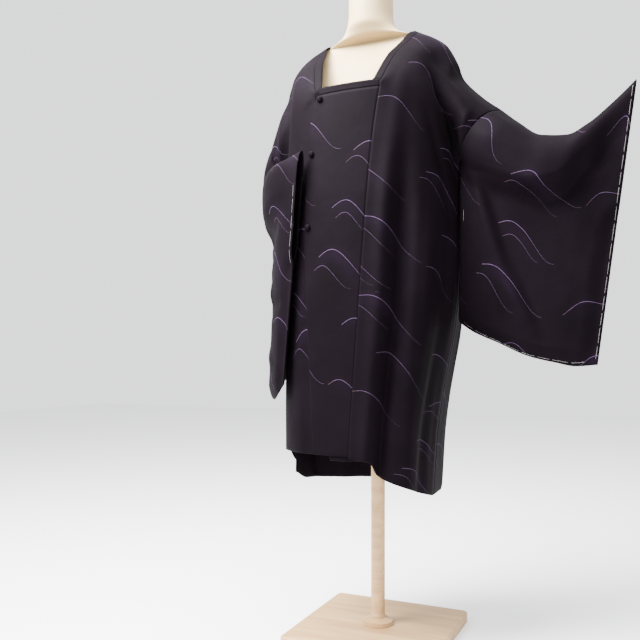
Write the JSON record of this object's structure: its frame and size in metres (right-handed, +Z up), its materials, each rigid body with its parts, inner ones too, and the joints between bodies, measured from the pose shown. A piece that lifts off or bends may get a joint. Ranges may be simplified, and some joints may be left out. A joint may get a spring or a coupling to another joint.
{
  "type": "kimono coat on a dress form",
  "caption": "Square-necked kimono overcoat with hanging sleeves, resting on a limbless dress form with a pole and a square wooden board.",
  "frame": {"origin": "on the floor under the shoulders, on the underside of the base board", "axes": "+X towards the wearer's left, -Y towards the front, +Z up"},
  "size_m": [0.7486, 0.3693, 1.4],
  "materials": {
    "silk": "satin",
    "form_cloth": "matte",
    "form_wood": "satin"
  },
  "bodies": {
    "root": {"body_left": "silk", "body_right": "silk", "overlap_left": "silk", "underlap_right": "silk", "neck_band_front": "silk", "neck_band_left": "silk", "neck_band_right": "silk", "neck_band_back": "silk", "sleeve_left": "silk", "sleeve_right": "silk", "button_top": "silk", "button_middle": "silk", "button_bottom": "silk", "form_torso": "form_cloth", "form_pole": "form_wood", "form_base": "form_wood"}
  },
  "joints": []
}
